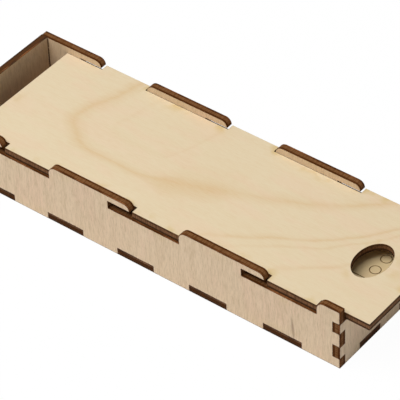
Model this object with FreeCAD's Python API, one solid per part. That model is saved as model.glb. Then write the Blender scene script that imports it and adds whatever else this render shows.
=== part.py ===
"""Laser-cut plywood domino box: hooked side walls, a lid that slides under the hooks, 28 tiles.

Millimetres. The origin is the middle of the floor's underside, +X points to the low end that the lid
slides over, and +Z is up. Left is +Y, as seen when looking along +X. The lid stands slid out, where
its tabs drop in between the hooks.
"""
import FreeCAD, Part
import math
import os

# Sheet that the box is cut from
ply = 3.0

# Domino tiles and how they lie in the box
tile_length = 50.0
tile_width = 24.5
tile_thickness = 3.5
tile_corner = 1.5
tile_columns = 7
tile_layers = 4
highest_pips = 6
tile_gap = 0.2
tile_side_gap = 0.3
tile_end_gap = 0.55

# Room round the tiles
length_play = 7.5
width_play = 5.0
head_room = 4.25

# Corner finger joints: heights from the bottom edge up
corner_foot = 4.6
corner_low_tab = 5.6
corner_high_tab = 4.6

# How far the closed end wall stands above the hooks
closed_end_rise = 0.3

# Floor tabs: equal divisions of each outer edge, every second one a tab
long_divisions = 11
short_divisions = 5

# Hooks along the side walls
lid_tabs = 3
tab_inset = 31.3
recess_length = 22.6
hook_height = 2.7
hook_tip_land = 0.1
hook_back_radius = 3.4

# Lid and its running clearances
lid_travel = 9.9
tab_setback = 0.5
tab_clearance = 0.5
slot_end_clearance = 0.3
slot_top_clearance = 0.25
lid_side_clearance = 0.5
lid_wall_gap = 0.1
lid_end_clearance = 0.1

# Finger hole in the lid
hole_length = 13.0
hole_width = 19.4
hole_inset = 17.9

# The box grows from the tiles outwards
inner_length = tile_columns * tile_width + length_play
inner_width = tile_length + width_play
length = inner_length + 2 * ply
width = inner_width + 2 * ply
floor_top = ply
seat = floor_top + tile_layers * tile_thickness + head_room
slot_top = seat + ply + slot_top_clearance
wall_top = slot_top + hook_height
hook_tip_radius = hook_height - hook_tip_land

# Height spans of the end-wall tabs that show at the corners
low_tab_top = corner_foot + corner_low_tab
corner_spans = [(corner_foot, low_tab_top), (seat - corner_high_tab, seat)]

AXIS_X = FreeCAD.Vector(1, 0, 0)
AXIS_Y = FreeCAD.Vector(0, 1, 0)
AXIS_Z = FreeCAD.Vector(0, 0, 1)


def corner(along, up, radius=0.0):
    """One corner of a panel's outline, sharp or rounded."""
    return (along, up, radius)


def is_straight(before, here, after):
    """True where the outline runs on in one line, so that no corner is there."""
    turn = (here[0] - before[0]) * (after[1] - here[1]) - (here[1] - before[1]) * (after[0] - here[0])
    return abs(turn) < 1e-9


def without_straight_corners(corners):
    """The outline's real corners only."""
    distinct = [c for i, c in enumerate(corners) if c[:2] != corners[i - 1][:2]]
    count = len(distinct)
    return [c for i, c in enumerate(distinct)
            if not is_straight(distinct[i - 1], c, distinct[(i + 1) % count])]


def panel(corners, origin, along, up, thickness):
    """A flat panel cut to an outline, its thickness running along x up from the origin's plane."""
    corners = without_straight_corners(corners)
    points = [origin + along * c[0] + up * c[1] for c in corners]
    edges = []
    start = None
    for i, here in enumerate(points):
        radius = corners[i][2]
        to_before = (points[i - 1] - here).normalize()
        to_after = (points[(i + 1) % len(points)] - here).normalize()
        half_angle = to_before.getAngle(to_after) / 2
        reach = radius / math.tan(half_angle)
        entry = here + to_before * reach
        leave = here + to_after * reach
        if start is None:
            first_entry = entry
        else:
            edges.append(Part.LineSegment(start, entry).toShape())
        if radius > 0:
            bisector = (to_before + to_after).normalize()
            middle = here + bisector * (radius / math.sin(half_angle) - radius)
            edges.append(Part.Arc(entry, middle, leave).toShape())
        start = leave
    edges.append(Part.LineSegment(start, first_entry).toShape())
    face = Part.Face(Part.Wire(edges))
    return face.extrude(along.cross(up) * thickness)


def steps(spans, level, raised):
    """An edge at one level that steps to another over each span, as (distance, level) pairs."""
    pairs = []
    for start, end in spans:
        pairs += [(start, level), (start, raised), (end, raised), (end, level)]
    return pairs


def second_divisions(edge_length, divisions):
    """The spans of every second equal division of an edge."""
    pitch = edge_length / divisions
    return [(k * pitch, (k + 1) * pitch) for k in range(1, divisions, 2)]


def floor_panel():
    """The floor, with tabs that reach the outer faces of all four walls."""
    long_edge = steps(second_divisions(length, long_divisions), ply, 0.0)
    short_edge = steps(second_divisions(width, short_divisions), ply, 0.0)
    corners = [corner(ply, ply)]
    corners += [corner(x, y) for x, y in long_edge]
    corners += [corner(length - ply, ply)]
    corners += [corner(length - x, y) for y, x in short_edge]
    corners += [corner(length - ply, width - ply)]
    corners += [corner(x, width - y) for x, y in reversed(long_edge)]
    corners += [corner(ply, width - ply)]
    corners += [corner(x, y) for y, x in reversed(short_edge)]
    origin = FreeCAD.Vector(-length / 2, -width / 2, 0)
    return panel(corners, origin, AXIS_X, AXIS_Y, ply)


def recess_spans():
    """Where the lid's tabs drop in, measured from the closed end."""
    pitch = (length - 2 * tab_inset) / (lid_tabs - 1)
    middles = [tab_inset + lid_travel + k * pitch for k in range(lid_tabs)]
    return [(middle - recess_length / 2, middle + recess_length / 2) for middle in middles]


def side_wall(left_y):
    """A side wall with its hooks, lid slots and joint slots, reaching left as far as left_y."""
    floor_slots = steps(second_divisions(length, long_divisions), 0.0, ply)
    end_slots = steps(corner_spans, 0.0, ply)
    slot_depth = lid_travel + slot_end_clearance
    corners = [corner(0, 0)]
    corners += [corner(x, z) for x, z in floor_slots]
    corners += [corner(length, 0)]
    corners += [corner(length - x, z) for z, x in end_slots]
    corners += [corner(length, wall_top)]
    for start, end in reversed(recess_spans()):
        corners += [
            corner(end, wall_top, hook_back_radius),
            corner(end, seat),
            corner(start - slot_depth, seat),
            corner(start - slot_depth, slot_top),
            corner(start, slot_top),
            corner(start, wall_top, hook_tip_radius),
        ]
    corners += [corner(0, wall_top)]
    corners += [corner(x, z) for z, x in reversed(end_slots)]
    origin = FreeCAD.Vector(-length / 2, left_y, 0)
    return panel(corners, origin, AXIS_X, AXIS_Z, ply)


def end_wall(start_x, top):
    """An end wall up to a given height, its tabs through the side walls."""
    floor_slots = steps(second_divisions(width, short_divisions), 0.0, ply)
    end_tabs = steps(corner_spans, ply, 0.0)
    corners = [corner(ply, 0)]
    corners += [corner(y, z) for y, z in floor_slots]
    corners += [corner(width - ply, 0)]
    corners += [corner(width - y, z) for z, y in end_tabs]
    corners += [corner(width - ply, top), corner(ply, top)]
    corners += [corner(y, z) for z, y in reversed(end_tabs)]
    origin = FreeCAD.Vector(start_x, -width / 2, 0)
    return panel(corners, origin, AXIS_Y, AXIS_Z, ply)


def finger_hole(middle_x, middle_y):
    """The oval that goes through the lid, longer across than along."""
    middle = FreeCAD.Vector(middle_x, middle_y, seat)
    across = middle + AXIS_Y * (hole_width / 2)
    along = middle + AXIS_X * (hole_length / 2)
    oval = Part.Ellipse(across, along, middle)
    return Part.Face(Part.Wire(oval.toShape())).extrude(AXIS_Z * ply)


def sliding_lid():
    """The lid, slid out by its whole travel on its seats, lying over towards the left wall."""
    outer_end = length + lid_travel
    inner_end = ply + lid_end_clearance + lid_travel
    body_edge = ply + lid_side_clearance
    tabs = [(start + tab_clearance, end - tab_clearance) for start, end in recess_spans()]
    long_edge = steps(tabs, body_edge, tab_setback)
    corners = [corner(inner_end, body_edge)]
    corners += [corner(x, y) for x, y in long_edge]
    corners += [corner(outer_end, body_edge), corner(outer_end, width - body_edge)]
    corners += [corner(x, width - y) for x, y in reversed(long_edge)]
    corners += [corner(inner_end, width - body_edge)]
    sideways = lid_side_clearance - lid_wall_gap
    origin = FreeCAD.Vector(-length / 2, -width / 2 + sideways, seat)
    lid = panel(corners, origin, AXIS_X, AXIS_Y, ply)
    return lid.cut(finger_hole(outer_end - hole_inset - length / 2, sideways))


def tile(column, layer):
    """One tile, lying across the box in its stack, stacks counted from the low end."""
    corners = [
        corner(0, 0, tile_corner),
        corner(tile_width, 0, tile_corner),
        corner(tile_width, tile_length, tile_corner),
        corner(0, tile_length, tile_corner),
    ]
    origin = FreeCAD.Vector(
        inner_length / 2 - tile_end_gap - tile_width - column * (tile_width + tile_gap),
        -inner_width / 2 + tile_side_gap,
        floor_top + layer * tile_thickness,
    )
    return panel(corners, origin, AXIS_X, AXIS_Y, tile_thickness)


def domino_set():
    """The whole set by name, stacked from the top layer at the low end down, highest tiles first."""
    halves = range(highest_pips, -1, -1)
    names = ["domino_%d_%d" % (high, low) for high in halves for low in range(high, -1, -1)]
    pieces = {}
    for i, name in enumerate(names):
        layer = tile_layers - 1 - i // tile_columns
        pieces[name] = tile(i % tile_columns, layer)
    return pieces


parts = {
    "floor_panel": floor_panel(),
    "right_side_wall": side_wall(-width / 2 + ply),
    "left_side_wall": side_wall(width / 2),
    "closed_end_wall": end_wall(-length / 2, wall_top + closed_end_rise),
    "low_end_wall": end_wall(length / 2 - ply, seat),
    "sliding_lid": sliding_lid(),
}
parts.update(domino_set())

os.makedirs("parts", exist_ok=True)
for node, shape in parts.items():
    shape.exportStep("parts/%s.step" % node)
    print("%s: %.1f mm3, valid %s" % (node, shape.Volume, shape.isValid()))
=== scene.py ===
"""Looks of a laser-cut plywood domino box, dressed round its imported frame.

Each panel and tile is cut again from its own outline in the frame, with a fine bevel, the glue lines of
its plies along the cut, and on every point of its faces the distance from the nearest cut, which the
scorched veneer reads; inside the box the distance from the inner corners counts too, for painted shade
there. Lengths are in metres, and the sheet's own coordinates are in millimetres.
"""
import math

import bmesh
import bpy
import numpy as np
from bpy.props import FloatProperty, FloatVectorProperty, PointerProperty
from mathutils import Matrix, Vector
from mathutils.geometry import delaunay_2d_cdt


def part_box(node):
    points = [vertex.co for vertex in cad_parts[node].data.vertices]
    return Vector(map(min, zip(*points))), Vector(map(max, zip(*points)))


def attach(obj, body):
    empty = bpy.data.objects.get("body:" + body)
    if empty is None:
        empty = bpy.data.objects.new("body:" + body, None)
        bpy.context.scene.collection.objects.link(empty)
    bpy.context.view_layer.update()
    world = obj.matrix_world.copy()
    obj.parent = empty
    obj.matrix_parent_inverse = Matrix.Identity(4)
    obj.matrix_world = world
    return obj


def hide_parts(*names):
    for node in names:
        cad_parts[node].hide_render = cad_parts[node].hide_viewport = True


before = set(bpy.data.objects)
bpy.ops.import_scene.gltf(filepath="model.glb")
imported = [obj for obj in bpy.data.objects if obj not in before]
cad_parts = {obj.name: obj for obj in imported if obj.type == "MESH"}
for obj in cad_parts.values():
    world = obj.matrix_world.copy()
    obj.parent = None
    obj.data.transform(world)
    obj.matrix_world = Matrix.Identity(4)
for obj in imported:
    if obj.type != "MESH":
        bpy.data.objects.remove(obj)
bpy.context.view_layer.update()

bl_info = {
    "name": "Plywood Domino Box",
    "version": (1, 0, 0),
    "blender": (4, 5, 0),
    "location": "View3D > Sidebar > Domino Box",
    "description": "Dresses a laser-cut plywood box of dominoes in birch veneer and burnt edges",
    "category": "Object",
}

MM = 0.001

# Points of a mesh closer than this are one
WELD = 1e-6

# How nearly a face has to look along a panel's normal to be part of its front
FACING = 0.99

# Faces that meet at more than this angle keep a crisp edge
SHARP_ANGLE = math.radians(28)

X_AXIS = Vector((1, 0, 0))
Y_AXIS = Vector((0, 1, 0))
Z_AXIS = Vector((0, 0, 1))

# Material slots of the pieces, in order. Only the tiles have the last
FACE, CUT, ENGRAVING = range(3)

# Distances from the cut, in metres, at which the faces get rows of points
SCORCH_ROWS = (0.0003, 0.0008, 0.0018, 0.004, 0.008)

# The points of a row lie this many times its distance apart, or else the least step. A point is left out
# where another cut is nearer to it than this share of the row's distance
ROW_STEP = 1.3
LEAST_STEP = 0.0012
ROW_SHARE = 0.9

# Pitch of the wide grid of points inside the last row, and its gap from that row
INNER_PITCH = 0.009
INNER_GAP = INNER_PITCH / 3

# Rows of points on both sides of a seam, and the step along them
SEAM_ROWS = SCORCH_ROWS[:3]
SEAM_STEP = 4 * SCORCH_ROWS[0]

# Distance from the cut that an engraved line counts as having, so that no scorch runs along it
UNBURNT = SCORCH_ROWS[-1]

# The beam burns the front more than the back, where distances from the cut count for more
BACK_GAP = 3.0

# Painted shade along the inner corners inside the box, where distances from the corner lines count for less
CORNER_SHADE_GAP = 0.5

# Sides of a pip's ring
RING_SEGMENTS = 40

# Pips of half a tile: places in a grid of three by three
CORNERS = [(-1, -1), (1, 1), (-1, 1), (1, -1)]
PIP_PLACES = {
    0: [],
    1: [(0, 0)],
    2: CORNERS[:2],
    3: CORNERS[:2] + [(0, 0)],
    4: CORNERS,
    5: CORNERS + [(0, 0)],
    6: CORNERS + [(-1, 0), (1, 0)],
}

# Where on the veneer each panel is cut, in metres, and how far on each tile lies from the last
PANEL_PLACES = {
    "floor_panel": (0.31, 0.12),
    "right_side_wall": (0.0, 0.0),
    "left_side_wall": (0.42, 0.55),
    "closed_end_wall": (0.7, 0.2),
    "low_end_wall": (0.9, 0.35),
    "sliding_lid": (0.0, 0.0),
}
TILE_STEP = (0.21, 0.13)

# Noise patterns: repeats in a millimetre of the sheet along the grain and across it, detail and roughness.
# Along a cut they run along it and through the sheet, and the engraving's are repeats in a metre
PATTERNS = {
    "sway": (0.07, 0.03, 1.0, 0.5),
    "clouds": (0.035, 0.11, 2.0, 0.55),
    "bands": (0.04, 0.55, 2.0, 0.6),
    "fibres": (0.22, 2.4, 5.0, 0.72),
    "pores": (0.45, 4.5, 1.0, 0.5),
    "stain": (0.11, 0.11, 2.0, 0.5),
    "ragged": (1.6, 1.6, 2.0, 0.6),
    "beam_lines": (2.6, 0.25, 2.0, 0.6),
    "toast": (0.07, 0.4, 2.0, 0.6),
    "flame_wander": (0.045, 0.09, 2.0, 0.5),
    "flame_fade": (0.03, 0.06, 1.0, 0.5),
    "engraving": (900, 900, 2.0, 0.5),
}

# Share of the wide bands in the veneer's streaks, and how dark its pores are against its fibres
BAND_SHARE = 0.25
PORE_SHARE = 0.7

# Sheen of bare and of burnt wood, and relief of the veneer and of a cut: bump strength and depth in metres
BARE_SHEEN = 0.3
BURNT_SHEEN = 0.02
VENEER_RELIEF = (0.12, 0.00008)
CUT_RELIEF = (0.3, 0.0001)

# Distances from a cut, in millimetres, between which the smoke stain fades
STAIN_FADE = (0.2, 5.0)

# Darkness that the beam lines and the glue add to a cut
LINE_SHADE = 0.6
GLUE_SHADE = 0.6

# The engraving's palest spots against its colour, and its roughness
ENGRAVED_SPOTS = 1.6
ENGRAVED_ROUGHNESS = 0.6

# Straight sides of the flame figure on the lid: outward direction in degrees and distance in millimetres,
# how far their corners are rounded, and how far they wander
LID_FLAME = [(162.4, 51.0), (231.0, 34.9), (270.0, 12.2), (292.1, 8.4), (315.4, 30.8)]
FLAME_ROUNDING = 5.0
FLAME_WANDER = 3.0

# Where along the lid the flame's line is thin, over what distances that fades, and how much thinner it is
THIN_PLACE = -22.0
THIN_FADE = (10.0, 24.0)
THINNING = 1.7

# Where the line swells to a smear, over what distances that fades, and how much it widens and darkens
SWELL_PLACE = 9.0
SWELL_FADE = (5.0, 20.0)
SWELL_WIDTH = 1.1
SWELL_TONE = 0.5

# Stretch of the lid over which the rings draw closer, and their spacing's inverse at its two ends
CLOSING = (20.0, 100.0, 0.75, 1.25)

# Stretch of the lid over which the rings outside the flame come up, and how far outside its line they lie
OUTER_RINGS = (5.0, 35.0)
OUTER_FROM = (4.0, 9.0)

# Darkness of the growth rings, from far inside the flame figure to far outside it, over this span of
# millimetres with the figure's own line in the middle
RING_SPAN = 80.0
RING_TONES = [
    (0.0, 0.03), (0.26, 0.02), (0.30, 0.10), (0.33, 0.02), (0.44, 0.02), (0.475, 0.12), (0.497, 0.34),
    (0.515, 0.17), (0.54, 0.02), (0.69, 0.02), (0.71, 0.12), (0.725, 0.36), (0.74, 0.05), (0.765, 0.05),
    (0.78, 0.25), (0.795, 0.03), (0.91, 0.03), (0.94, 0.26), (0.96, 0.02)]

# Dark streak in the right wall, in millimetres of its sheet: its middle, and how far it reaches along the
# grain and across it, then how much it slants and how dark it is
STREAK_PLACE = (8.0, 72.0)
STREAK_REACH = (7.4, 1.1)
STREAK_SLANT = 0.6
STREAK_TONE = 0.75

WHITE = (1, 1, 1, 1)

# Camera fitted to the photograph: where it looks, from how far, its angles in degrees, and its lens and
# sensor in millimetres
CAMERA_AIM = (0.00201, 0.00566, 0.00608)
CAMERA_DISTANCE = 1.02
CAMERA_AZIMUTH = 39.870
CAMERA_ELEVATION = 41.726
CAMERA_ROLL = -2.743
CAMERA_LENS = 245.75
CAMERA_SENSOR = 36.0

# Large soft light: the direction it comes from, its distance and its side
KEY_FROM = (-0.22, -0.36, 1.0)
KEY_DISTANCE = 1.5
KEY_SIZE = 1.2

# A tint may brighten a colour a little
COLOUR_MAX = 1.1


def colour_property(name, description, default):
    return FloatVectorProperty(
        name=name, description=description, default=default, size=3, subtype="COLOR", min=0.0,
        max=COLOUR_MAX)


def length_property(name, description, default):
    return FloatProperty(
        name=name, description=description, default=default, min=0.0, unit="LENGTH", precision=5)


class PlywoodSettings(bpy.types.PropertyGroup):
    """How the sheet is made up, and what the laser left at its edges."""

    veneer: length_property("Face ply", "Thickness of each outer ply", 0.0008)
    bevel: length_property("Edge bevel", "Width of the softened edge of a cut", 0.00008)
    glue_line: length_property("Glue line", "Width of the line between two plies", 0.00012)
    glue_depth: length_property("Glue line depth", "How far the glue line lies back in the cut", 0.00005)


class VeneerColours(bpy.types.PropertyGroup):
    """Colours of the birch and of the burnt edges."""

    lid: colour_property("Lid", "Pale face of the lid", (0.74, 0.615, 0.415))
    wall: colour_property("Walls", "Face of the walls", (0.76, 0.575, 0.382))
    floor: colour_property("Floor", "Face of the floor panel", (0.72, 0.55, 0.37))
    tile: colour_property("Tiles", "Face of the tiles", (0.60, 0.47, 0.26))
    figure: colour_property("Figure", "Growth rings and darker streaks of the lid", (0.62, 0.395, 0.17))
    grain: colour_property("Grain", "Darker streaks of the other faces", (0.53, 0.38, 0.225))
    rosy: colour_property("Rosy patches", "How the pale wood is tinted in places", (1.015, 0.975, 0.99))
    # Char also darkens the faces beside their cuts, and paints shade along the box's inner corners
    char: colour_property("Char", "Outer plies where the beam burnt them", (0.072, 0.022, 0.0035))
    core: colour_property("Core", "Middle ply at a cut edge", (0.205, 0.092, 0.035))
    toast: colour_property("Toast", "Lightly burnt stretches of a cut edge", (0.26, 0.10, 0.034))
    soot: colour_property("Soot", "Outer plies where they are burnt the most", (0.060, 0.028, 0.013))
    dark_core: colour_property("Dark core", "Middle ply of the lid and the floor", (0.235, 0.113, 0.053))
    deep_core: colour_property("Deep core", "Middle ply of the closed end", (0.095, 0.036, 0.012))
    sanded: colour_property("Sanded", "Edges of the tiles, sanded after the cut", (0.46, 0.29, 0.13))
    mineral: colour_property("Mineral streak", "Dark streak in a wall", (0.30, 0.19, 0.12))
    smoke: colour_property("Smoke", "Yellow smoke stain beside a cut", (0.62, 0.45, 0.19))
    engraving: colour_property("Engraving", "Bottom of the engraved lines", (0.15, 0.095, 0.035))


class PipSettings(bpy.types.PropertyGroup):
    """Rings and lines engraved in the tiles."""

    radius: length_property("Ring radius", "Outer radius of a pip's ring", 0.0023)
    line: length_property("Line width", "Width of an engraved line", 0.0004)
    depth: length_property("Line depth", "Depth of an engraved line", 0.00022)
    pitch: length_property("Pitch", "Distance between neighbouring pips", 0.0069)
    divider: length_property("Divider", "Length of the line between the two halves", 0.019)


class StageSettings(bpy.types.PropertyGroup):
    """Floor, light and background."""

    floor_size: length_property("Floor size", "Side of the square floor", 6.0)
    floor: colour_property("Floor", "Pale floor as the box sees it", (0.87, 0.90, 0.95))
    ambient: FloatProperty(
        name="Ambient", description="Strength of the even light from all round", default=0.2, min=0.0)
    key: FloatProperty(
        name="Key light", description="Power of the large soft light from above", default=23.5,
        unit="POWER")
    shadow: FloatProperty(
        name="Shadow", description="Share of the floor's own shading that shows", default=0.03, min=0.0,
        max=1.0)


# Outlines and meshes


def panel_outline(node, normal, along):
    """Loops of a panel's front face, wood on their left, as pairs along and up, and its back and front."""
    up = normal.cross(along)
    cad = bmesh.new()
    cad.from_mesh(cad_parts[node].data)
    bmesh.ops.remove_doubles(cad, verts=cad.verts, dist=WELD)
    depths = [v.co.dot(normal) for v in cad.verts]
    front = [f for f in cad.faces if f.normal.dot(normal) > FACING
             and max(depths) - f.calc_center_median().dot(normal) < WELD * 10]
    on_front = set(front)
    follow = {}
    for face in front:
        for loop in face.loops:
            if not any(f in on_front for f in loop.edge.link_faces if f is not face):
                follow[loop.vert] = loop.link_loop_next.vert
    loops = []
    while follow:
        start, here = follow.popitem()
        points = [start]
        while here is not start:
            points.append(here)
            here = follow.pop(here)
        loops.append(np.array([(v.co.dot(along), v.co.dot(up)) for v in points]))
    cad.free()
    return loops, min(depths), max(depths)


def inset(loop, distance):
    """The loop moved into the wood, its corners mitred."""
    before = loop - np.roll(loop, 1, axis=0)
    after = np.roll(loop, -1, axis=0) - loop
    normals = []
    for step in (before, after):
        step = step / np.linalg.norm(step, axis=1, keepdims=True)
        normals.append(np.stack([-step[:, 1], step[:, 0]], axis=1))
    both = normals[0] + normals[1]
    return loop + distance * 2 * both / np.sum(both ** 2, axis=1, keepdims=True)


def resampled(loop, step):
    """Points along a loop at about equal steps."""
    closed = np.vstack([loop, loop[:1]])
    run = np.concatenate([[0], np.cumsum(np.linalg.norm(np.diff(closed, axis=0), axis=1))])
    places = np.linspace(0, run[-1], max(8, int(run[-1] / step)), endpoint=False)
    return np.stack([np.interp(places, run, closed[:, axis]) for axis in (0, 1)], axis=1)


def cut_distance(points, loops):
    """How far each point lies from the nearest cut."""
    nearest = np.full(len(points), np.inf)
    for loop in loops:
        for start, end in zip(loop, np.roll(loop, -1, axis=0)):
            run = end - start
            share = np.clip((points - start) @ run / (run @ run), 0, 1)
            nearest = np.minimum(nearest, np.linalg.norm(points - start - share[:, None] * run, axis=1))
    return nearest


def in_wood(points, loops):
    """True for each point with wood under it, inside the outline and outside its holes."""
    crossings = np.zeros(len(points), int)
    for loop in loops:
        for start, end in zip(loop, np.roll(loop, -1, axis=0)):
            spans = (start[1] > points[:, 1]) != (end[1] > points[:, 1])
            rise = end[1] - start[1] if end[1] != start[1] else 1.0
            meets = start[0] + (points[:, 1] - start[1]) / rise * (end[0] - start[0])
            crossings += spans & (points[:, 0] < meets)
    return crossings % 2 == 1


def face_points(loops):
    """Points spread over a face, in rows along the cut and a wide grid between them."""
    found = []
    for row in SCORCH_ROWS:
        for loop in loops:
            line = resampled(loop, max(ROW_STEP * row, LEAST_STEP))
            found.append((inset(line, row), ROW_SHARE * row))
    low, high = loops[0].min(axis=0), loops[0].max(axis=0)
    ticks = [np.arange(low[k] + INNER_PITCH / 2, high[k], INNER_PITCH) for k in (0, 1)]
    grid = np.stack(np.meshgrid(*ticks), axis=-1).reshape(-1, 2)
    found.append((grid, SCORCH_ROWS[-1] + INNER_GAP))
    kept = []
    for points, least in found:
        clear = (cut_distance(points, loops) > least) & in_wood(points, loops)
        kept.append(points[clear])
    points = np.vstack(kept)
    places = np.round(points / (SCORCH_ROWS[0] / 2)).astype(int)
    first = np.sort(np.unique(places, axis=0, return_index=True)[1])
    return points[first]


def seam_points(loops, seams):
    """Points in rows beside the lines where other walls meet a face."""
    found = []
    for low, high in seams:
        heights = np.arange(low[1], high[1], SEAM_STEP)
        for offset in (*(-row for row in SEAM_ROWS), 0.0, *SEAM_ROWS):
            found.append(np.stack([np.full(len(heights), low[0] + offset), heights], axis=1))
    points = np.vstack(found)
    return points[(cut_distance(points, loops) > SEAM_ROWS[0]) & in_wood(points, loops)]


class PieceBuilder:
    """Collects the points and faces of one piece in its own plane, then makes the object."""

    def __init__(self, normal, along):
        self.axes = (along, normal.cross(along), normal)
        self.points = []
        self.gaps = []
        self.faces = []
        self.sheet = []
        self.slots = []

    def add_points(self, pairs, depth, gaps):
        """Adds points at one depth and gives their numbers."""
        start = len(self.points)
        along, up, normal = self.axes
        self.points += [along * a + up * b + normal * depth for a, b in pairs]
        self.gaps += list(gaps)
        return list(range(start, len(self.points)))

    def add_face(self, corners, sheet, slot):
        self.faces.append(corners)
        self.sheet.append(sheet)
        self.slots.append(slot)

    def add_strip(self, lower, upper, runs, depths, slot=CUT):
        """Quads between two loops, with the run along the cut and the depth in the sheet as coordinates."""
        count = len(lower)
        for i in range(count):
            j = (i + 1) % count
            low, high = [[(run, depth) for run in runs[i:i + 2]] for depth in depths]
            self.add_face([lower[i], lower[j], upper[j], upper[i]], [*low, *high[::-1]], slot)

    def build(self, name, materials):
        """Makes the object, its sheet coordinates and its distances from the cut."""
        mesh = bpy.data.meshes.new(name)
        mesh.from_pydata(self.points, [], self.faces)
        # Distances from the cut, and inside the box from the inner corners where shade is painted
        gap = mesh.attributes.new("cut_and_corner_shade_gap", "FLOAT", "POINT")
        gap.data.foreach_set("value", [value / MM for value in self.gaps])
        layer = mesh.uv_layers.new(name="Sheet")
        layer.uv.foreach_set("vector", [x / MM for face in self.sheet for pair in face for x in pair])
        for material in materials:
            mesh.materials.append(material)
        mesh.polygons.foreach_set("material_index", self.slots)
        mesh.polygons.foreach_set("use_smooth", [True] * len(self.faces))
        weld = bmesh.new()
        weld.from_mesh(mesh)
        bmesh.ops.remove_doubles(weld, verts=weld.verts, dist=WELD)
        weld.to_mesh(mesh)
        weld.free()
        mesh.set_sharp_from_angle(angle=SHARP_ANGLE)
        mesh.validate()
        piece = bpy.data.objects.new(name, mesh)
        bpy.context.scene.collection.objects.link(piece)
        return piece


def cut_profile(back, front, settings):
    """Depths and insets of the rings of points down a cut edge, from the back face to the front."""
    rings = [(back, settings.bevel), (back + settings.bevel, 0.0)]
    half = settings.glue_line / 2
    for line in (back + settings.veneer, front - settings.veneer):
        rings += [(line - half, 0.0), (line, settings.glue_depth), (line + half, 0.0)]
    return rings + [(front - settings.bevel, 0.0), (front, settings.bevel)]


def add_cut_edges(builder, loops, rings):
    """The cut edge all round a panel and round its holes."""
    for loop in loops:
        closed = np.vstack([loop, loop[:1]])
        runs = np.concatenate([[0], np.cumsum(np.linalg.norm(np.diff(closed, axis=0), axis=1))])
        levels = []
        for depth, step in rings:
            levels.append(builder.add_points(inset(loop, step), depth, [0.0] * len(loop)))
        for k in range(len(rings) - 1):
            depths = [rings[k][0] - rings[0][0], rings[k + 1][0] - rings[0][0]]
            builder.add_strip(levels[k], levels[k + 1], runs, depths)


def add_face_sheet(builder, loops, depth, faces_front, grain_up, place, grooves=(), seams=()):
    """One veneered face, its points in rows along the cut.

    Grooves are loops left open in it. Seams are lines where other walls meet it, darkened as painted shade.
    """
    outline = [*loops, *grooves]
    inner = face_points(loops)
    if len(grooves):
        inner = inner[cut_distance(inner, grooves) > SCORCH_ROWS[0]]
    if len(seams):
        inner = np.vstack([inner, seam_points(loops, seams)])
    points = np.vstack([*outline, inner])
    edges = []
    start = 0
    for loop in outline:
        count = len(loop)
        edges += [(start + i, start + (i + 1) % count) for i in range(count)]
        start += count
    # Output type 1 gives triangles inside the outline
    made = delaunay_2d_cdt([Vector(p) for p in points], edges, [], 1, WELD / 100)
    spots = np.array([tuple(v) for v in made[0]])
    triangles = [list(face) for face in made[2]]
    middles = np.array([spots[t].mean(axis=0) for t in triangles])
    keep = in_wood(middles, outline)
    gaps = cut_distance(spots, loops) * (1.0 if faces_front else BACK_GAP)
    if len(seams):
        # Inside the box the scorch's burnt line is drawn along the corner lines too, as painted shade
        gaps = np.minimum(gaps, cut_distance(spots, seams) * CORNER_SHADE_GAP)
    numbers = builder.add_points(spots, depth, gaps)
    sheet = spots[:, ::-1] if grain_up else spots
    sheet = sheet + np.array(place)
    for triangle, kept in zip(triangles, keep):
        if kept:
            turn = triangle if faces_front else triangle[::-1]
            builder.add_face([numbers[i] for i in turn], [tuple(sheet[i]) for i in turn], FACE)


def plywood_panel(context, name, node, normal, along, grain_up, face, edge, seams=()):
    """A panel cut from the node's outline, with plies at its edges and a veneer on both faces."""
    settings = context.scene.domino_box_plywood
    finishes = box_materials(context)
    loops, back, front = panel_outline(node, normal, along)
    loops.sort(key=lambda loop: -np.ptp(loop, axis=0).sum())
    builder = PieceBuilder(normal, along)
    add_cut_edges(builder, loops, cut_profile(back, front, settings))
    face_loops = [inset(loop, settings.bevel) for loop in loops]
    add_face_sheet(builder, face_loops, front, True, grain_up, PANEL_PLACES[node])
    # The back, inside the box, gets painted shade along its inner corners
    add_face_sheet(builder, face_loops, back, False, grain_up, PANEL_PLACES[node], seams=seams)
    return builder.build(name, [finishes[face], finishes[edge]])


def wall_seams(place, *neighbours):
    """Lines up a wall's inside, at its two corners, as high as the walls that meet it there."""
    return [np.array([(x, 0.0), (x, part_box(node)[1].z)]) for x, node in zip((-place, place), neighbours)]


# Tiles


def ring_of_points(middle, radius):
    turns = np.arange(RING_SEGMENTS) * 2 * math.pi / RING_SEGMENTS
    return np.array(middle) + radius * np.stack([np.cos(turns), np.sin(turns)], axis=1)


def pip_middles(high, low, middle, half_length, pitch):
    """Middles of a tile's pips, the higher half towards the left wall."""
    found = []
    for count, side in ((high, 1), (low, -1)):
        for across, along in PIP_PLACES[count]:
            found.append((middle[0] + across * pitch, middle[1] + side * half_length / 2 + along * pitch))
    return found


def add_groove(builder, outer, inner, bottom, top, depth):
    """A V-shaped engraved line between two loops, its bottom on a third."""
    runs = [0.0] * (len(outer) + 1)
    outer_points = builder.add_points(outer, top, [UNBURNT] * len(outer))
    bottom_points = builder.add_points(bottom, top - depth, [UNBURNT] * len(bottom))
    inner_points = builder.add_points(inner, top, [UNBURNT] * len(inner))
    builder.add_strip(outer_points, bottom_points, runs, [0.0, 0.0], ENGRAVING)
    builder.add_strip(bottom_points, inner_points, runs, [0.0, 0.0], ENGRAVING)


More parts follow.
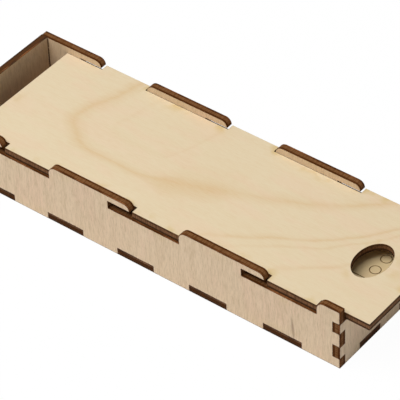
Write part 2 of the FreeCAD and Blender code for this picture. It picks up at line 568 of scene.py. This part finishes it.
def domino_tile(context, name, node, high, low, place):
    """A tile with its rings and the line between its halves engraved in the upper face."""
    plywood, pips = context.scene.domino_box_plywood, context.scene.domino_box_pips
    finishes = box_materials(context)
    loops, back, front = panel_outline(node, Z_AXIS, X_AXIS)
    builder = PieceBuilder(Z_AXIS, X_AXIS)
    add_cut_edges(builder, loops, cut_profile(back, front, plywood))
    face_loops = [inset(loop, plywood.bevel) for loop in loops]
    low_corner, high_corner = loops[0].min(axis=0), loops[0].max(axis=0)
    middle = (low_corner + high_corner) / 2
    grooves = []
    for pip in pip_middles(high, low, middle, (high_corner - low_corner)[1] / 2, pips.pitch):
        outer = ring_of_points(pip, pips.radius)
        inner = ring_of_points(pip, pips.radius - pips.line)
        bottom = ring_of_points(pip, pips.radius - pips.line / 2)
        add_groove(builder, outer, inner, bottom, front, pips.depth)
        grooves += [outer, inner]
    grooves.append(add_divider(builder, middle, front, pips))
    add_face_sheet(builder, face_loops, front, True, True, place, grooves)
    add_face_sheet(builder, face_loops, back, False, True, place)
    return builder.build(name, [finishes[look] for look in ("tile_veneer", "cut_tile", "engraved_line")])


def add_divider(builder, middle, top, pips):
    """The straight line across the tile's middle. Gives its outline."""
    reach, half = pips.divider / 2, pips.line / 2
    straight = reach - half
    lower = [(-reach, 0), (-straight, -half), (straight, -half)]
    upper = [(reach, 0), (straight, half), (-straight, half)]
    outline = np.array(lower + upper) + middle
    rim = builder.add_points(outline, top, [UNBURNT] * len(outline))
    bottom = np.array([(-straight, 0), (straight, 0)]) + middle
    left, right = builder.add_points(bottom, top - pips.depth, [UNBURNT, UNBURNT])
    slopes = (
        [rim[0], rim[1], left],
        [rim[1], rim[2], right, left],
        [rim[2], rim[3], right],
        [rim[3], rim[4], right],
        [rim[4], rim[5], left, right],
        [rim[5], rim[0], left])
    for corners in slopes:
        builder.add_face(corners, [(0.0, 0.0)] * len(corners), ENGRAVING)
    return outline


# Shader helpers


def plug(tree, value, socket):
    """Links a socket, or sets a plain value."""
    if isinstance(value, bpy.types.NodeSocket):
        tree.links.new(value, socket)
    else:
        socket.default_value = value


def add_node(tree, kind, inputs=None, **settings):
    """A node with its settings, and its inputs linked or set."""
    node = tree.nodes.new(kind)
    for name, value in settings.items():
        setattr(node, name, value)
    for name, value in (inputs or {}).items():
        plug(tree, value, node.inputs[name])
    return node


def calculate(tree, operation, *values):
    """A math node's result."""
    node = tree.nodes.new("ShaderNodeMath")
    node.operation = operation
    for socket, value in zip(node.inputs, values):
        plug(tree, value, socket)
    return node.outputs[0]


def noise(tree, place, pattern):
    """Noise in one of the patterns, from 0 to 1."""
    along, across, detail, roughness = PATTERNS[pattern]
    stretched = add_node(tree, "ShaderNodeVectorMath", operation="MULTIPLY")
    plug(tree, place, stretched.inputs[0])
    stretched.inputs[1].default_value = (along, across, 0)
    node = add_node(
        tree, "ShaderNodeTexNoise",
        {"Vector": stretched.outputs[0], "Scale": 1.0, "Detail": detail, "Roughness": roughness},
        noise_dimensions="2D")
    return node.outputs["Fac"]


def eased(tree, value, low, high, to_low=0.0, to_high=1.0):
    """A smooth step from one level to another."""
    node = add_node(
        tree, "ShaderNodeMapRange",
        {"Value": value, "From Min": low, "From Max": high, "To Min": to_low, "To Max": to_high},
        interpolation_type="SMOOTHSTEP")
    return node.outputs["Result"]


def blended(tree, share, one, other):
    """Two colours mixed by a share."""
    node = tree.nodes.new("ShaderNodeMix")
    node.data_type = "RGBA"
    plug(tree, share, node.inputs["Factor"])
    sockets = [s for s in node.inputs if s.type == "RGBA"]
    plug(tree, one, sockets[0])
    plug(tree, other, sockets[1])
    return next(s for s in node.outputs if s.type == "RGBA")


def shader_group(name, inputs, outputs):
    """An empty node group with named sockets, and its input sockets and output node."""
    tree = bpy.data.node_groups.new(name, "ShaderNodeTree")
    for socket, kind in inputs:
        tree.interface.new_socket(name=socket, in_out="INPUT", socket_type="NodeSocket" + kind)
    for socket, kind in outputs:
        tree.interface.new_socket(name=socket, in_out="OUTPUT", socket_type="NodeSocket" + kind)
    given = tree.nodes.new("NodeGroupInput").outputs
    result = tree.nodes.new("NodeGroupOutput").inputs
    return tree, given, result


# Shared effects


def birch_group():
    """Birch veneer: fine fibres, short pores and cloudy patches, the grain along the sheet's first axis."""
    tree, given, result = shader_group(
        "Birch Veneer",
        [("Sheet", "Vector"), ("Pale", "Color"), ("Rosy", "Color"), ("Figure", "Color"), ("Rings", "Float"),
         ("Fibre", "Float"), ("Sway", "Float")],
        [("Color", "Color"), ("Roughness", "Float"), ("Height", "Float")])
    bend = noise(tree, given["Sheet"], "sway")
    aside = calculate(tree, "MULTIPLY", calculate(tree, "SUBTRACT", bend, 0.5), given["Sway"])
    offset = add_node(tree, "ShaderNodeCombineXYZ", {"Y": aside}).outputs["Vector"]
    swayed = add_node(tree, "ShaderNodeVectorMath", operation="ADD")
    plug(tree, given["Sheet"], swayed.inputs[0])
    plug(tree, offset, swayed.inputs[1])
    sheet = swayed.outputs["Vector"]
    clouds = noise(tree, sheet, "clouds")
    bands = noise(tree, sheet, "bands")
    fibres = noise(tree, sheet, "fibres")
    pores = noise(tree, sheet, "pores")
    rosy = blended(tree, eased(tree, clouds, 0.42, 0.68), given["Pale"], given["Rosy"])
    swing = calculate(tree, "MULTIPLY_ADD", calculate(tree, "SUBTRACT", bands, fibres), BAND_SHARE, fibres)
    streaks = calculate(tree, "MULTIPLY", eased(tree, swing, 0.38, 0.68), given["Fibre"])
    speckle = calculate(tree, "MULTIPLY", given["Fibre"], PORE_SHARE)
    specks = calculate(tree, "MULTIPLY", eased(tree, pores, 0.68, 0.8), speckle)
    figure = calculate(tree, "ADD", calculate(tree, "ADD", streaks, specks), given["Rings"])
    figured = calculate(tree, "MINIMUM", figure, 1.0)
    plug(tree, blended(tree, figured, rosy, given["Figure"]), result["Color"])
    plug(tree, eased(tree, fibres, 0.3, 0.7, 0.5, 0.64), result["Roughness"])
    plug(tree, calculate(tree, "SUBTRACT", fibres, specks), result["Height"])
    return tree


def scorch_group():
    """What the beam leaves on a face beside a cut: a thin burnt line, and a yellow stain in places."""
    # Where Gap is the distance from an inner corner, the burnt line is painted shade
    tree, given, result = shader_group(
        "Scorch", [("Gap", "Float"), ("Sheet", "Vector"), ("Line", "Float"), ("Stain", "Float")],
        [("Burn", "Float"), ("Stain", "Float")])
    patches = noise(tree, given["Sheet"], "stain")
    ragged = noise(tree, given["Sheet"], "ragged")
    reach = calculate(tree, "MULTIPLY", given["Line"], eased(tree, ragged, 0.25, 0.75, 0.6, 1.4))
    beyond = eased(tree, calculate(tree, "DIVIDE", given["Gap"], reach), 0.0, 1.0)
    plug(tree, calculate(tree, "SUBTRACT", 1.0, beyond), result["Burn"])
    near = calculate(tree, "SUBTRACT", 1.0, eased(tree, given["Gap"], *STAIN_FADE))
    stain = calculate(tree, "MULTIPLY", near, eased(tree, patches, 0.5, 0.72))
    plug(tree, calculate(tree, "MULTIPLY", stain, given["Stain"]), result["Stain"])
    return tree


def cut_group():
    """A laser-cut edge of three plies: dark outer plies, a lighter core, and fine lines across the cut."""
    tree, given, result = shader_group(
        "Laser Cut",
        [("Cut", "Vector"), ("Thickness", "Float"), ("Ply", "Float"), ("Char", "Color"), ("Core", "Color"),
         ("Toast", "Color"), ("Burnt Side", "Float")],
        [("Color", "Color"), ("Roughness", "Float"), ("Height", "Float")])
    cut = given["Cut"]
    depth = add_node(tree, "ShaderNodeSeparateXYZ", {"Vector": cut}).outputs["Y"]
    half = calculate(tree, "MULTIPLY", given["Thickness"], 0.5)
    off_middle = calculate(tree, "ABSOLUTE", calculate(tree, "SUBTRACT", depth, half))
    into_ply = calculate(tree, "SUBTRACT", off_middle, calculate(tree, "SUBTRACT", half, given["Ply"]))
    outer = eased(tree, into_ply, -0.05, 0.08)
    glue = calculate(tree, "SUBTRACT", 1.0, eased(tree, calculate(tree, "ABSOLUTE", into_ply), 0.03, 0.14))
    lines = noise(tree, cut, "beam_lines")
    patches = noise(tree, cut, "toast")
    share = calculate(tree, "DIVIDE", depth, given["Thickness"])
    off_burnt = calculate(tree, "ABSOLUTE", calculate(tree, "SUBTRACT", share, given["Burnt Side"]))
    paler = eased(tree, off_burnt, 0.4, 0.8, 0.15, 1.0)
    toasted = calculate(tree, "MULTIPLY", eased(tree, patches, 0.40, 0.68), paler)
    skin = blended(tree, toasted, given["Char"], given["Toast"])
    plies = blended(tree, outer, given["Core"], skin)
    shaded = blended(tree, eased(tree, lines, 0.36, 0.70, 0.0, LINE_SHADE), plies, given["Char"])
    burnt = calculate(tree, "MULTIPLY", glue, GLUE_SHADE)
    plug(tree, blended(tree, burnt, shaded, given["Char"]), result["Color"])
    plug(tree, eased(tree, lines, 0.3, 0.7, 0.55, 0.7), result["Roughness"])
    plug(tree, lines, result["Height"])
    return tree


def flame_group():
    """The lid's flame figure: nested growth rings round a blunt tip, as masks that darken the veneer."""
    tree, given, result = shader_group("Flame Figure", [("Sheet", "Vector")], [("Rings", "Float")])
    sheet = given["Sheet"]
    sides = []
    for degrees, offset in LID_FLAME:
        turn = math.radians(degrees)
        towards = add_node(tree, "ShaderNodeVectorMath", operation="DOT_PRODUCT")
        plug(tree, sheet, towards.inputs[0])
        towards.inputs[1].default_value = (math.cos(turn), math.sin(turn), 0)
        sides.append(calculate(tree, "SUBTRACT", towards.outputs["Value"], offset))
    distance = sides[0]
    for side in sides[1:]:
        distance = calculate(tree, "SMOOTH_MAX", distance, side, FLAME_ROUNDING)
    wander = calculate(tree, "SUBTRACT", noise(tree, sheet, "flame_wander"), 0.5)
    distance = calculate(tree, "MULTIPLY_ADD", wander, FLAME_WANDER, distance)
    run = add_node(tree, "ShaderNodeSeparateXYZ", {"Vector": sheet}).outputs["X"]
    off_swell = calculate(tree, "ABSOLUTE", calculate(tree, "SUBTRACT", run, SWELL_PLACE))
    swell = eased(tree, off_swell, *SWELL_FADE, 1.0, 0.0)
    off_thin = calculate(tree, "ABSOLUTE", calculate(tree, "SUBTRACT", run, THIN_PLACE))
    distance = calculate(tree, "MULTIPLY", distance, eased(tree, off_thin, *THIN_FADE, THINNING, 1.0))
    distance = calculate(tree, "MULTIPLY", distance, eased(tree, run, *CLOSING))
    widened = calculate(tree, "MULTIPLY_ADD", swell, SWELL_WIDTH, 1.0)
    distance = calculate(tree, "DIVIDE", distance, widened)
    place = calculate(tree, "MULTIPLY_ADD", distance, 1 / RING_SPAN, 0.5)
    ramp = add_node(tree, "ShaderNodeValToRGB", {"Fac": place})
    stops = ramp.color_ramp.elements
    while len(stops) < len(RING_TONES):
        stops.new(0.5)
    for stop, (position, tone) in zip(stops, RING_TONES):
        stop.position = position
        stop.color = (tone, tone, tone, 1)
    fade = noise(tree, sheet, "flame_fade")
    strength = calculate(tree, "MULTIPLY_ADD", swell, SWELL_TONE, eased(tree, fade, 0.3, 0.6, 0.6, 1.2))
    outside = eased(tree, distance, *OUTER_FROM)
    hidden = calculate(tree, "MULTIPLY", outside, eased(tree, run, *OUTER_RINGS, 1.0, 0.0))
    shown = calculate(tree, "MULTIPLY", strength, calculate(tree, "SUBTRACT", 1.0, hidden))
    plug(tree, calculate(tree, "MULTIPLY", ramp.outputs["Color"], shown), result["Rings"])
    return tree


def streak_group():
    """A short dark mineral streak along the grain, pointed at both ends."""
    tree, given, result = shader_group("Mineral Streak", [("Sheet", "Vector")], [("Streak", "Float")])
    place = add_node(tree, "ShaderNodeSeparateXYZ", {"Vector": given["Sheet"]}).outputs
    along, across = [
        calculate(tree, "DIVIDE", calculate(tree, "SUBTRACT", place[axis], middle), reach)
        for axis, middle, reach in zip("XY", STREAK_PLACE, STREAK_REACH)]
    slanted = calculate(tree, "MULTIPLY_ADD", along, STREAK_SLANT, across)
    room = calculate(tree, "SUBTRACT", 1.0, calculate(tree, "MULTIPLY", along, along))
    inside = calculate(tree, "SUBTRACT", room, calculate(tree, "ABSOLUTE", slanted))
    plug(tree, eased(tree, inside, 0.0, 1.0, 0.0, STREAK_TONE), result["Streak"])
    return tree


# Finishes


def group_node(tree, group, inputs):
    """One of the shared effects placed in a finish. Gives its outputs."""
    node = tree.nodes.new("ShaderNodeGroup")
    node.node_tree = group
    for name, value in inputs.items():
        plug(tree, value, node.inputs[name])
    return node.outputs


def opaque(colour):
    return (*colour, 1.0)


def new_material(name, sheen=BARE_SHEEN):
    """An empty node material with its Principled shader."""
    material = bpy.data.materials.new(name)
    material.use_nodes = True
    tree = material.node_tree
    tree.nodes.clear()
    shader = tree.nodes.new("ShaderNodeBsdfPrincipled")
    output = tree.nodes.new("ShaderNodeOutputMaterial")
    tree.links.new(shader.outputs["BSDF"], output.inputs["Surface"])
    shader.inputs["Specular IOR Level"].default_value = sheen
    return material, tree, shader


def sheet_coordinates(tree):
    return add_node(tree, "ShaderNodeUVMap", uv_map="Sheet").outputs["UV"]


def add_surface(tree, shader, colour, effect, relief):
    """Gives a finish its colour, and the roughness and relief of its main effect."""
    strength, depth = relief
    bump = add_node(
        tree, "ShaderNodeBump", {"Height": effect["Height"], "Strength": strength, "Distance": depth})
    plug(tree, colour, shader.inputs["Base Color"])
    plug(tree, effect["Roughness"], shader.inputs["Roughness"])
    plug(tree, bump.outputs["Normal"], shader.inputs["Normal"])


def veneer_material(name, pale, colours, groups, fibre, line, stain, sway=0.0, flame=False, streak=False):
    """Bare birch veneer with the scorch of its cut edges.

    Fibre and stain are shares, line is the burnt line's width in millimetres, and sway bends the grain by
    up to half as many millimetres. Inside the box the same line runs along the inner corners as painted
    shade.
    """
    material, tree, shader = new_material(name)
    sheet = sheet_coordinates(tree)
    # Distance from the nearest cut, and inside the box from the inner corners, where the burnt line is
    # painted shade
    gap = add_node(tree, "ShaderNodeAttribute", attribute_name="cut_and_corner_shade_gap").outputs["Fac"]
    rings = group_node(tree, groups["flame"], {"Sheet": sheet})["Rings"] if flame else 0.0
    rosy = [share * tint for share, tint in zip(pale, colours.rosy)]
    dark = colours.figure if flame else colours.grain
    birch = group_node(tree, groups["birch"], {
        "Sheet": sheet, "Pale": opaque(pale), "Rosy": opaque(rosy), "Figure": opaque(dark), "Rings": rings,
        "Fibre": fibre, "Sway": sway})
    scorch = group_node(tree, groups["scorch"], {"Gap": gap, "Sheet": sheet, "Line": line, "Stain": stain})
    wood = birch["Color"]
    if streak:
        mark = group_node(tree, groups["streak"], {"Sheet": sheet})["Streak"]
        wood = blended(tree, mark, wood, opaque(colours.mineral))
    stained = blended(tree, scorch["Stain"], wood, opaque(colours.smoke))
    # The char colour: the burnt line beside a cut, and painted shade along the inner corners
    burnt = blended(tree, scorch["Burn"], stained, opaque(colours.char))
    add_surface(tree, shader, burnt, birch, VENEER_RELIEF)
    return material


def cut_material(name, thickness, ply, groups, char, core, toast, burnt_side=0.0):
    """The burnt edge of a sheet of a given thickness, burnt most at its back (0) or its front (1)."""
    material, tree, shader = new_material(name, BURNT_SHEEN)
    cut = group_node(tree, groups["cut"], {
        "Cut": sheet_coordinates(tree), "Thickness": thickness / MM, "Ply": ply / MM,
        "Char": opaque(char), "Core": opaque(core), "Toast": opaque(toast), "Burnt Side": burnt_side})
    add_surface(tree, shader, cut["Color"], cut, CUT_RELIEF)
    return material


def engraving_material(colours):
    """The burnt bottom of an engraved line, a little uneven."""
    material, tree, shader = new_material("engraved_line")
    place = add_node(tree, "ShaderNodeTexCoord").outputs["Object"]
    uneven = noise(tree, place, "engraving")
    paler = opaque(ENGRAVED_SPOTS * share for share in colours.engraving)
    burnt = blended(tree, eased(tree, uneven, 0.35, 0.7), opaque(colours.engraving), paler)
    plug(tree, burnt, shader.inputs["Base Color"])
    shader.inputs["Roughness"].default_value = ENGRAVED_ROUGHNESS
    return material


FINISHES = (
    "lid_veneer", "wall_veneer", "floor_veneer", "tile_veneer", "cut_sheet", "cut_end", "cut_lid",
    "cut_floor", "cut_tile", "engraved_line")


def box_materials(context):
    """All finishes of the box, made once."""
    scene = context.scene
    colours, plywood = scene.domino_box_colours, scene.domino_box_plywood
    if FINISHES[0] in bpy.data.materials:
        return {name: bpy.data.materials[name] for name in FINISHES}
    groups = {
        "birch": birch_group(), "scorch": scorch_group(), "cut": cut_group(), "flame": flame_group(),
        "streak": streak_group()}
    sheet_low, sheet_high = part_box("sliding_lid")
    tile_low, tile_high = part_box("domino_6_6")
    sheet, tile = sheet_high.z - sheet_low.z, tile_high.z - tile_low.z
    char, core, toast = colours.char, colours.core, colours.toast
    veneer_material(
        "lid_veneer", colours.lid, colours, groups, fibre=0.16, line=0.03, stain=0.7, flame=True)
    veneer_material(
        # The walls' wide burnt line is real scorch, and along their bottom edges partly painted contact
        # shade
        "wall_veneer", colours.wall, colours, groups, fibre=0.7, line=0.3, stain=0.2, sway=1.6, streak=True)
    veneer_material("floor_veneer", colours.floor, colours, groups, fibre=0.4, line=0.25, stain=0.3)
    veneer_material("tile_veneer", colours.tile, colours, groups, fibre=0.25, line=0.2, stain=0.3)
    cut_material("cut_sheet", sheet, plywood.veneer, groups, char, core, toast)
    cut_material("cut_end", sheet, plywood.veneer, groups, colours.soot, colours.deep_core, toast, 1.0)
    cut_material("cut_lid", sheet, plywood.veneer, groups, colours.soot, colours.dark_core, core)
    cut_material("cut_floor", sheet, plywood.veneer, groups, colours.soot, char, colours.dark_core)
    cut_material("cut_tile", tile, plywood.veneer, groups, core, colours.sanded, colours.sanded)
    engraving_material(colours)
    return {name: bpy.data.materials[name] for name in FINISHES}


# Operators


def place_piece(piece, body, node):
    """Lets a piece stand for its node and move with its body."""
    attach(piece, body)
    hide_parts(node)


class DOMINOBOX_OT_floor_panel(bpy.types.Operator):
    """Cut the floor panel with its tabs"""

    bl_idname = "domino_box.floor_panel"
    bl_label = "Floor panel"

    def execute(self, context):
        piece = plywood_panel(
            context, "plywood_floor", "floor_panel", Z_AXIS, X_AXIS, False, "floor_veneer", "cut_floor")
        place_piece(piece, "box", "floor_panel")
        return {"FINISHED"}


class DOMINOBOX_OT_side_walls(bpy.types.Operator):
    """Cut the two side walls with their hooks"""

    bl_idname = "domino_box.side_walls"
    bl_label = "Side walls"

    def execute(self, context):
        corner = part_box("low_end_wall")[0].x
        ends = ("closed_end_wall", "low_end_wall")
        for node, normal, along, met in (
                ("right_side_wall", -Y_AXIS, X_AXIS, ends),
                ("left_side_wall", Y_AXIS, -X_AXIS, ends[::-1])):
            piece = plywood_panel(
                context, "plywood_" + node, node, normal, along, True, "wall_veneer", "cut_sheet",
                wall_seams(corner, *met))
            place_piece(piece, "box", node)
        return {"FINISHED"}


class DOMINOBOX_OT_end_walls(bpy.types.Operator):
    """Cut the closed end wall and the low end wall"""

    bl_idname = "domino_box.end_walls"
    bl_label = "End walls"

    def execute(self, context):
        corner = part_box("left_side_wall")[0].y
        for node, normal, along, edge in (
                ("closed_end_wall", -X_AXIS, -Y_AXIS, "cut_end"),
                ("low_end_wall", X_AXIS, Y_AXIS, "cut_sheet")):
            piece = plywood_panel(
                context, "plywood_" + node, node, normal, along, True, "wall_veneer", edge,
                wall_seams(corner, node, node))
            place_piece(piece, "box", node)
        return {"FINISHED"}


class DOMINOBOX_OT_sliding_lid(bpy.types.Operator):
    """Cut the sliding lid with its tabs and finger hole"""

    bl_idname = "domino_box.sliding_lid"
    bl_label = "Sliding lid"

    def execute(self, context):
        piece = plywood_panel(
            context, "plywood_lid", "sliding_lid", Z_AXIS, X_AXIS, False, "lid_veneer", "cut_lid")
        place_piece(piece, "lid", "sliding_lid")
        return {"FINISHED"}


class DOMINOBOX_OT_domino_tiles(bpy.types.Operator):
    """Cut the tiles and engrave their pips"""

    bl_idname = "domino_box.domino_tiles"
    bl_label = "Domino tiles"

    def execute(self, context):
        nodes = sorted(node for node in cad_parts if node.startswith("domino_"))
        for number, node in enumerate(nodes):
            high, low = (int(pips) for pips in node.split("_")[1:])
            place = [step * number for step in TILE_STEP]
            piece = domino_tile(context, "engraved_" + node, node, high, low, place)
            place_piece(piece, "box", node)
        return {"FINISHED"}


class DOMINOBOX_OT_stage(bpy.types.Operator):
    """Lay the floor, light the box and set the camera"""

    bl_idname = "domino_box.stage"
    bl_label = "Stage"

    def execute(self, context):
        scene = context.scene
        settings = scene.domino_box_stage
        scene.view_settings.view_transform = "Standard"
        self.floor(scene, settings)
        self.world(scene, settings)
        self.key_light(scene, settings)
        self.camera(scene)
        return {"FINISHED"}

    def seen(self, tree):
        """1 for rays that look at the background or mirror it, 0 for rays that only carry light."""
        path = tree.nodes.new("ShaderNodeLightPath").outputs
        seen = calculate(tree, "MAXIMUM", path["Is Camera Ray"], path["Is Glossy Ray"])
        return calculate(tree, "MAXIMUM", seen, path["Is Transmission Ray"])

    def floor(self, scene, settings):
        """A wide floor, nearly white to the eye, that throws its own pale colour on the box."""
        half = settings.floor_size / 2
        mesh = bpy.data.meshes.new("floor")
        corners = [(-half, -half, 0), (half, -half, 0), (half, half, 0), (-half, half, 0)]
        mesh.from_pydata(corners, [], [(0, 1, 2, 3)])
        material = bpy.data.materials.new("pale_floor")
        material.use_nodes = True
        tree = material.node_tree
        tree.nodes.clear()
        seen = self.seen(tree)
        matte = add_node(tree, "ShaderNodeBsdfDiffuse", {
            "Color": blended(tree, seen, opaque(settings.floor), WHITE)})
        white = add_node(tree, "ShaderNodeEmission", {"Color": WHITE, "Strength": 1.0})
        share = calculate(tree, "MULTIPLY", seen, 1 - settings.shadow)
        mixed = add_node(tree, "ShaderNodeMixShader", {"Fac": share})
        plug(tree, matte.outputs["BSDF"], mixed.inputs[1])
        plug(tree, white.outputs["Emission"], mixed.inputs[2])
        output = tree.nodes.new("ShaderNodeOutputMaterial")
        plug(tree, mixed.outputs["Shader"], output.inputs["Surface"])
        mesh.materials.append(material)
        floor = bpy.data.objects.new("floor", mesh)
        scene.collection.objects.link(floor)

    def world(self, scene, settings):
        """A white background with a weaker even light."""
        world = bpy.data.worlds.new("even_light")
        scene.world = world
        world.use_nodes = True
        tree = world.node_tree
        background = tree.nodes["Background"]
        background.inputs["Color"].default_value = WHITE
        strength = eased(tree, self.seen(tree), 0.0, 1.0, settings.ambient, 1.0)
        plug(tree, strength, background.inputs["Strength"])

    def key_light(self, scene, settings):
        """One large soft light from above."""
        light = bpy.data.lights.new("key_light", "AREA")
        light.shape = "SQUARE"
        light.size = KEY_SIZE
        light.energy = settings.key
        towards = Vector(KEY_FROM).normalized()
        lamp = bpy.data.objects.new("key_light", light)
        lamp.location = towards * KEY_DISTANCE
        lamp.rotation_mode = "QUATERNION"
        lamp.rotation_quaternion = towards.to_track_quat("Z", "Y")
        scene.collection.objects.link(lamp)

    def camera(self, scene):
        """The camera, turned from level by its roll."""
        azimuth, elevation, roll = map(math.radians, (CAMERA_AZIMUTH, CAMERA_ELEVATION, CAMERA_ROLL))
        level = Vector((math.cos(azimuth), math.sin(azimuth), 0))
        outward = Vector((math.sin(azimuth), -math.cos(azimuth), 0))
        back = outward * math.cos(elevation) + Z_AXIS * math.sin(elevation)
        steep = back.cross(level)
        right = level * math.cos(roll) + steep * math.sin(roll)
        up = steep * math.cos(roll) - level * math.sin(roll)
        data = bpy.data.cameras.new("camera")
        data.sensor_width = CAMERA_SENSOR
        data.lens = CAMERA_LENS
        camera = bpy.data.objects.new("camera", data)
        turned = Matrix((right, up, back)).transposed().to_4x4()
        camera.matrix_world = Matrix.Translation(Vector(CAMERA_AIM) + back * CAMERA_DISTANCE) @ turned
        scene.collection.objects.link(camera)
        scene.camera = camera


SETTINGS = {
    "domino_box_plywood": PlywoodSettings,
    "domino_box_colours": VeneerColours,
    "domino_box_pips": PipSettings,
    "domino_box_stage": StageSettings,
}

OPERATORS = (
    DOMINOBOX_OT_floor_panel,
    DOMINOBOX_OT_side_walls,
    DOMINOBOX_OT_end_walls,
    DOMINOBOX_OT_sliding_lid,
    DOMINOBOX_OT_domino_tiles,
    DOMINOBOX_OT_stage,
)


class DOMINOBOX_PT_panel(bpy.types.Panel):
    """Sidebar panel with the settings and the steps of the box"""

    bl_idname = "DOMINOBOX_PT_panel"
    bl_label = "Domino Box"
    bl_space_type = "VIEW_3D"
    bl_region_type = "UI"
    bl_category = "Domino Box"

    def draw(self, context):
        for name, settings in SETTINGS.items():
            column = self.layout.column(align=True)
            for prop in settings.__annotations__:
                column.prop(getattr(context.scene, name), prop)
        for operator in OPERATORS:
            self.layout.operator(operator.bl_idname)


def register():
    for item in (*SETTINGS.values(), *OPERATORS, DOMINOBOX_PT_panel):
        bpy.utils.register_class(item)
    for name, settings in SETTINGS.items():
        setattr(bpy.types.Scene, name, PointerProperty(type=settings))


def unregister():
    for name in SETTINGS:
        delattr(bpy.types.Scene, name)
    for item in (*SETTINGS.values(), *OPERATORS, DOMINOBOX_PT_panel):
        bpy.utils.unregister_class(item)


def main():
    register()
    bpy.ops.domino_box.floor_panel()
    bpy.ops.domino_box.side_walls()
    bpy.ops.domino_box.end_walls()
    bpy.ops.domino_box.sliding_lid()
    bpy.ops.domino_box.domino_tiles()
    bpy.ops.domino_box.stage()


if __name__ == "__main__":
    main()
